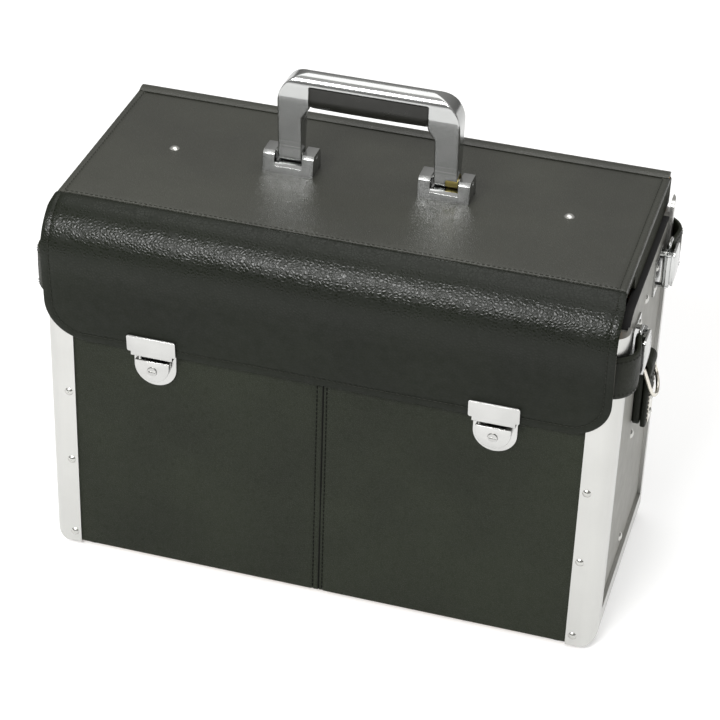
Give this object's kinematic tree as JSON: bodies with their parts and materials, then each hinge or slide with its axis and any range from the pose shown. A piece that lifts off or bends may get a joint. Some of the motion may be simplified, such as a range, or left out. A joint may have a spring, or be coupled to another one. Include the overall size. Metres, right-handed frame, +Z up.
{
  "type": "tool case",
  "caption": "Leather-covered tool case with an aluminium frame, hinged lid with a hanging front flap, flap locks, corner strap latches, D-rings and a folding handle.",
  "frame": {"origin": "on the ground, under the middle of the case", "axes": "+X along the case's width to the viewer's right, the front with the flap and locks faces -Y, +Z up"},
  "size_m": [0.4898, 0.2189, 0.4145],
  "materials": {
    "wood": "plain plywood, matt",
    "wall_leather": "fine-grained black leather, satin",
    "lid_leather": "smooth black leather, satin",
    "flap_leather": "soft pebbled black leather, satin",
    "strap_leather": "thick black strap leather, satin",
    "frame_aluminium": "satin anodised",
    "panel_laminate": "grey laminate, matt",
    "foot_rubber": "matt black",
    "rivet_steel": "domed, bright",
    "hinge_steel": "satin",
    "latch_chrome": "polished",
    "ring_nickel": "nickel plated, bright",
    "lock_chrome": "polished",
    "barrel_steel": "satin",
    "handle_chrome": "polished",
    "pin_steel": "satin",
    "grip_plastic": "black, slightly glossy",
    "bush_brass": "dull brass",
    "stiffener_board": "fibre board, matt"
  },
  "bodies": {
    "case": {"base_board": "wood", "corner_feet": "foot_rubber", "front_wall_board": "wood", "front_cover_left": "wall_leather", "front_cover_right": "wall_leather", "rear_wall_board": "wood", "rear_cover": "wall_leather", "side_panel_left": "panel_laminate", "side_panel_right": "panel_laminate", "front_rail_left": "frame_aluminium", "front_rail_right": "frame_aluminium", "rear_rail_left": "frame_aluminium", "rear_rail_right": "frame_aluminium", "bottom_rail_left": "frame_aluminium", "bottom_rail_right": "frame_aluminium", "case_rivets": "rivet_steel", "fitting_rivets": "rivet_steel", "divider_channels": "frame_aluminium", "divider_board": "wood", "strap_front_left": "strap_leather", "strap_front_right": "strap_leather", "strap_rear_left": "strap_leather", "strap_rear_right": "strap_leather", "latch_bases": "latch_chrome", "latch_pins": "latch_chrome", "latch_loops": "latch_chrome", "ring_pads": "strap_leather", "ring_tab_left": "strap_leather", "ring_tab_right": "strap_leather", "ring_plates": "ring_nickel", "lock_base_left": "lock_chrome", "lock_base_right": "lock_chrome", "hinge_leaf_wall": "hinge_steel", "hinge_pin": "hinge_steel", "hinge_cover_wall": "lid_leather"},
    "lid": {"lid_board": "wood", "lid_side_battens": "wood", "lid_rear_batten": "wood", "lid_cover": "lid_leather", "front_flap": "flap_leather", "flap_stiffener": "stiffener_board", "hasps": "lock_chrome", "lid_rivets": "rivet_steel", "hinge_leaf_lid": "hinge_steel", "hinge_cover_lid": "lid_leather", "handle_brackets": "handle_chrome", "handle_pins": "pin_steel"},
    "handle": {"handle_frame": "handle_chrome", "handle_grip": "grip_plastic", "handle_bush": "bush_brass"},
    "lock_button_left": {"lock_button_left": "lock_chrome"},
    "lock_barrel_left": {"lock_barrel_left": "barrel_steel"},
    "ring_left": {"d_ring_left": "ring_nickel"},
    "lock_button_right": {"lock_button_right": "lock_chrome"},
    "lock_barrel_right": {"lock_barrel_right": "barrel_steel"},
    "ring_right": {"d_ring_right": "ring_nickel"},
    "lever_front_left": {"latch_lever_front_left": "latch_chrome"},
    "lever_front_right": {"latch_lever_front_right": "latch_chrome"},
    "lever_rear_left": {"latch_lever_rear_left": "latch_chrome"},
    "lever_rear_right": {"latch_lever_rear_right": "latch_chrome"}
  },
  "joints": [
    {"name": "lid_hinge", "type": "hinge", "parent": "case", "child": "lid", "pos_m": [0, 0.1035, 0.3015], "axis": [-1, 0, 0], "range_deg": [0, 110]},
    {"name": "handle_fold", "type": "hinge", "parent": "lid", "child": "handle", "pos_m": [0, 0.011, 0.3412], "axis": [1, 0, 0], "range_deg": [-88, 88]},
    {"name": "lock_press_left", "type": "slide", "parent": "case", "child": "lock_button_left", "axis": [0, 1, 0], "range_m": [0, 0.0025], "stiffness_N_per_m": 400},
    {"name": "key_turn_left", "type": "hinge", "parent": "lock_button_left", "child": "lock_barrel_left", "pos_m": [-0.137, -0.107, 0.19464], "axis": [0, -1, 0], "range_deg": [0, 90]},
    {"name": "lock_press_right", "type": "slide", "parent": "case", "child": "lock_button_right", "axis": [0, 1, 0], "range_m": [0, 0.0025], "stiffness_N_per_m": 400},
    {"name": "key_turn_right", "type": "hinge", "parent": "lock_button_right", "child": "lock_barrel_right", "pos_m": [0.137, -0.107, 0.19464], "axis": [0, -1, 0], "range_deg": [0, 90]},
    {"name": "latch_front_left", "type": "hinge", "parent": "case", "child": "lever_front_left", "pos_m": [-0.234, -0.047, 0.263], "axis": [0, 0, -1], "range_deg": [0, 120]},
    {"name": "latch_rear_left", "type": "hinge", "parent": "case", "child": "lever_rear_left", "pos_m": [-0.234, 0.047, 0.273], "axis": [0, 0, 1], "range_deg": [0, 120]},
    {"name": "ring_swing_left", "type": "hinge", "parent": "case", "child": "ring_left", "pos_m": [-0.2332, 0, 0.2176], "axis": [0, 1, 0], "range_deg": [0, 150]},
    {"name": "latch_front_right", "type": "hinge", "parent": "case", "child": "lever_front_right", "pos_m": [0.234, -0.047, 0.263], "axis": [0, 0, 1], "range_deg": [0, 120]},
    {"name": "latch_rear_right", "type": "hinge", "parent": "case", "child": "lever_rear_right", "pos_m": [0.234, 0.047, 0.273], "axis": [0, 0, -1], "range_deg": [0, 120]},
    {"name": "ring_swing_right", "type": "hinge", "parent": "case", "child": "ring_right", "pos_m": [0.2332, 0, 0.2176], "axis": [0, -1, 0], "range_deg": [0, 150]}
  ]
}
